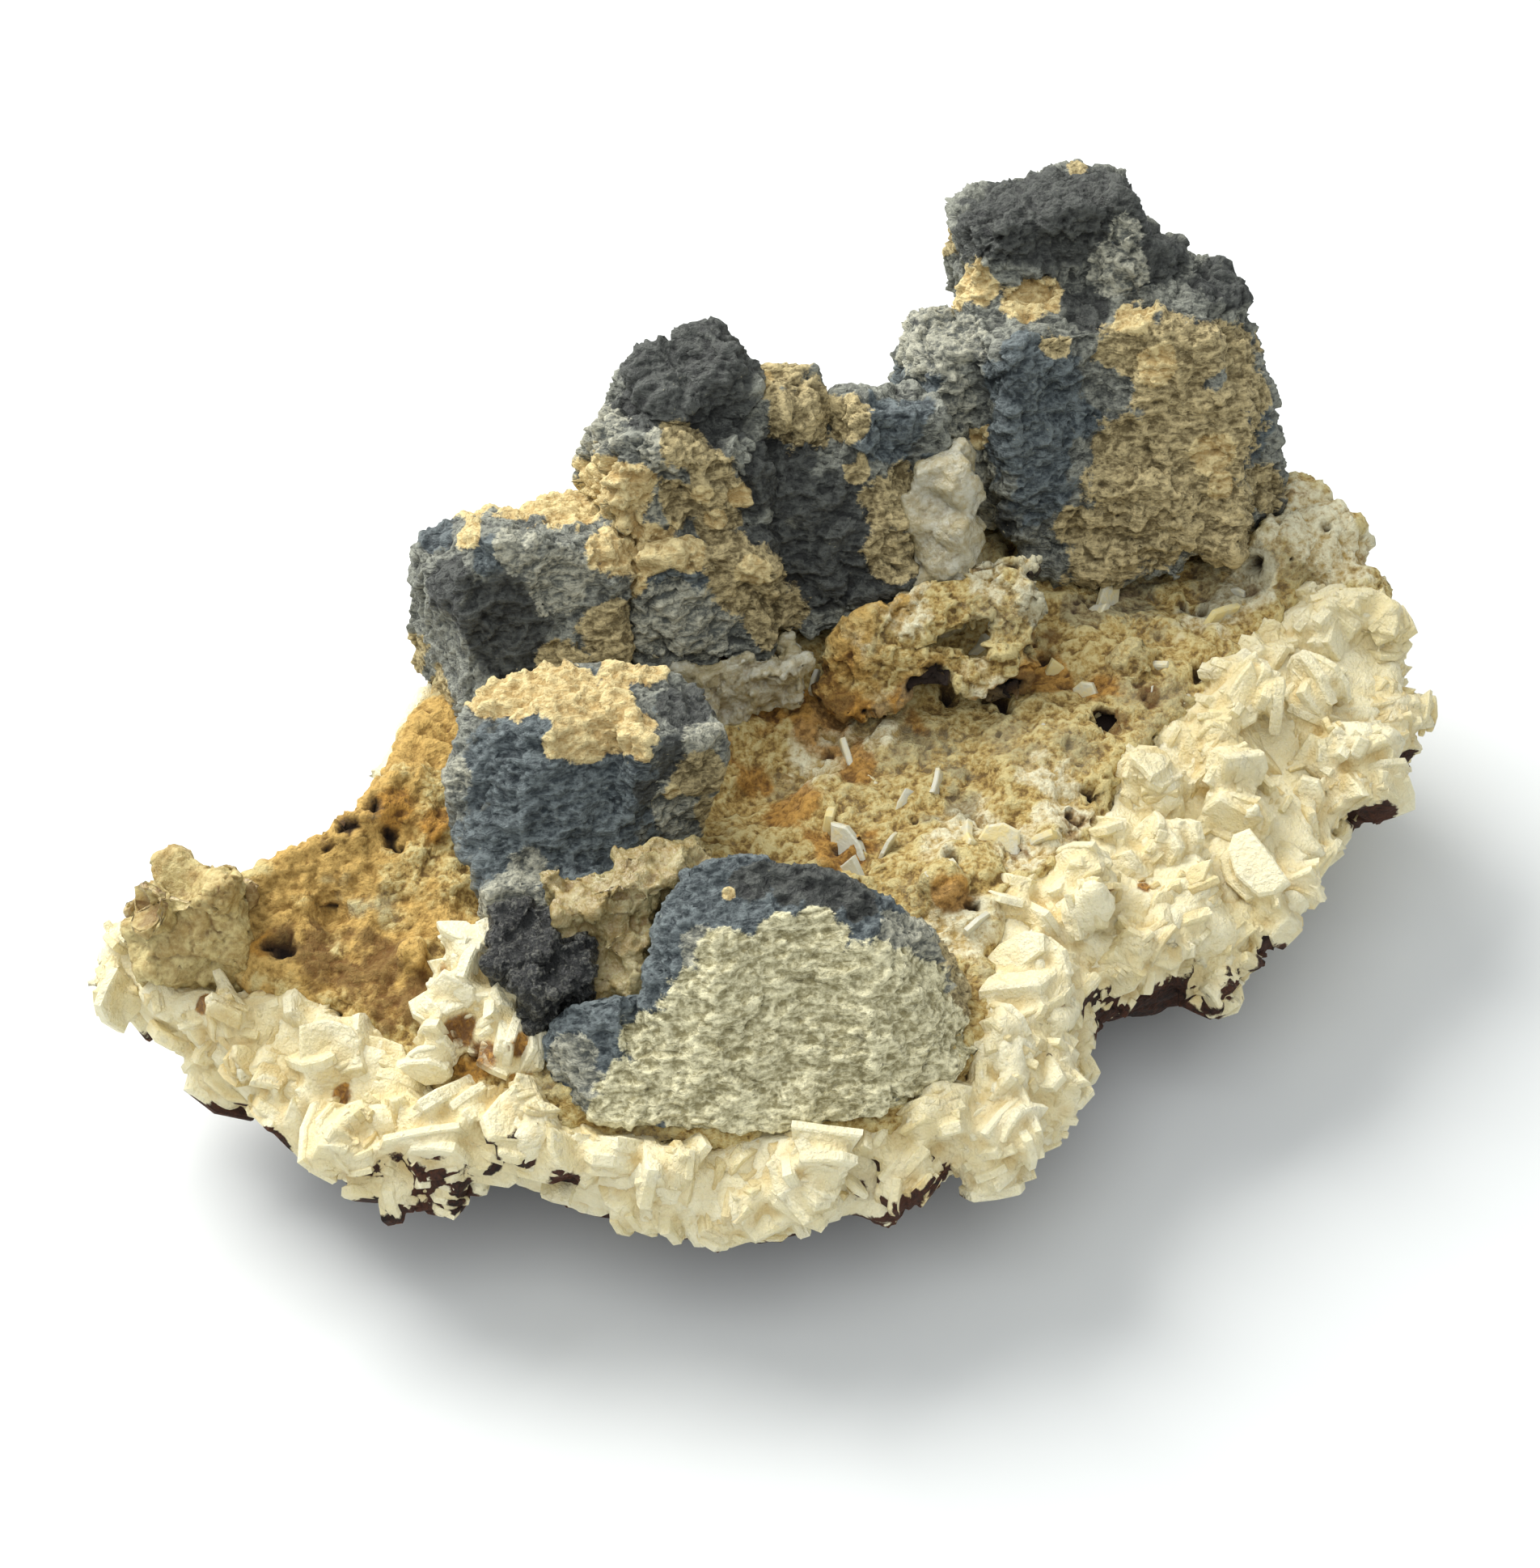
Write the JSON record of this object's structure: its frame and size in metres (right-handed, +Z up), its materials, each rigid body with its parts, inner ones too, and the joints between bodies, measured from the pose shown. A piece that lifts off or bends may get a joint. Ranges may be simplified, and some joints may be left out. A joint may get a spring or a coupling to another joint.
{
  "type": "galena mineral specimen",
  "caption": "Hand specimen of dull blue-grey galena crystals on a tan crust, which fills a shallow bowl of white bladed crystals.",
  "frame": {"origin": "centre of the specimen's outline, on the surface that it rests on", "axes": "+Z up as it rests; -Y towards the front, where the large pale-faced crystal stands; +X along the specimen's length, to the tower side"},
  "size_m": [0.1242, 0.0958, 0.0602],
  "materials": {
    "dull_galena": "dull, granular blue-grey ore with rubbed lighter edges",
    "tan_crust": "crumbly, matt, ochre to tan crust with stained hollows",
    "white_blades": "satin, milky white, cream in the hollows",
    "honey_calcite": "glassy and cloudy, honey stained",
    "clear_quartz": "glassy, cloudy grey",
    "black_crystal": "dark, sparkling, granular"
  },
  "bodies": {
    "root": {"galena_front_crystal": "dull_galena", "galena_left_crystal": "dull_galena", "galena_round_crystal": "dull_galena", "galena_middle_cluster": "dull_galena", "galena_tower_cluster": "dull_galena", "tan_crust": "tan_crust", "crust_ledge": "tan_crust", "white_bladed_bed": "white_blades", "white_spray": "white_blades", "honey_calcite": "honey_calcite", "left_knob": "honey_calcite", "quartz_crystals": "clear_quartz", "clear_grains": "clear_quartz", "black_crystal_lump": "black_crystal"}
  },
  "joints": []
}
